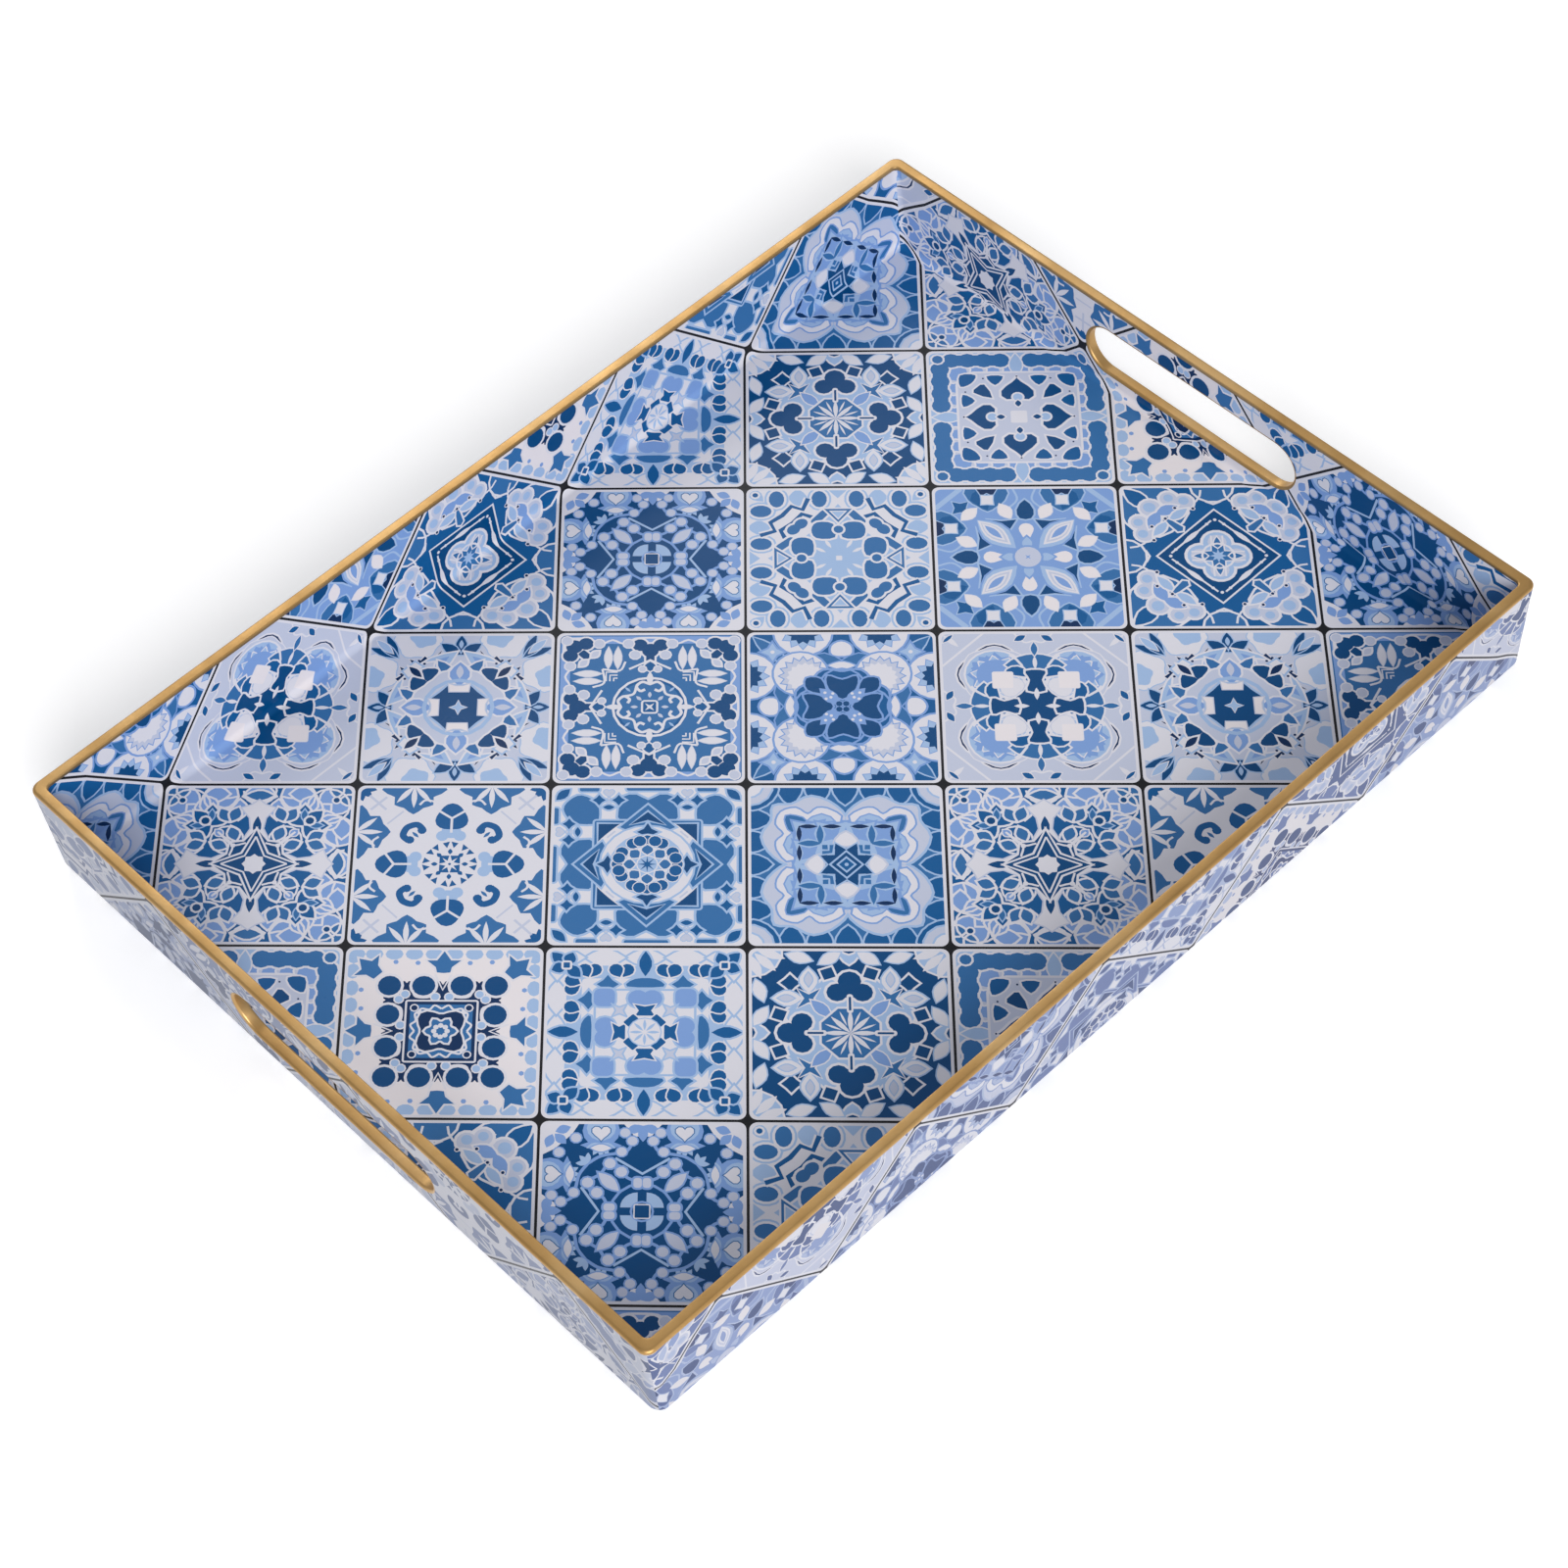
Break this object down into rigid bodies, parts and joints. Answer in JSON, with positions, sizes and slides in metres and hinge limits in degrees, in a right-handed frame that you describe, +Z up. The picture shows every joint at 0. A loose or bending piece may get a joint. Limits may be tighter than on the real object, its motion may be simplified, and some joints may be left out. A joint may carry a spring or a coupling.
{
  "type": "serving tray",
  "caption": "Rectangular serving tray with low walls, a tile-patterned film inside and out, a gold rim band and a gold-lined hand slot through each end wall.",
  "frame": {"origin": "middle of the tray's outline, on the surface that it stands on", "axes": "+X along the long side, +Y along the short side, +Z up out of the open top"},
  "size_m": [0.45, 0.338, 0.0475],
  "materials": {
    "core_plastic": "moulded, light grey",
    "inner_film": "blue and white tile print under a glossy clear face",
    "outer_film": "blue and white tile print under a glossy clear face",
    "gold": "satin metallic gold",
    "backing": "plain matt sheet",
    "pad_rubber": "matt dark anti-slip foam rubber"
  },
  "bodies": {
    "root": {"tray_core": "core_plastic", "inner_print": "inner_film", "outer_print": "outer_film", "rim_band": "gold", "slot_lining_left": "gold", "slot_lining_right": "gold", "base_panel": "backing", "foot_pad_left_front": "pad_rubber", "foot_pad_left_back": "pad_rubber", "foot_pad_right_front": "pad_rubber", "foot_pad_right_back": "pad_rubber"}
  },
  "joints": []
}
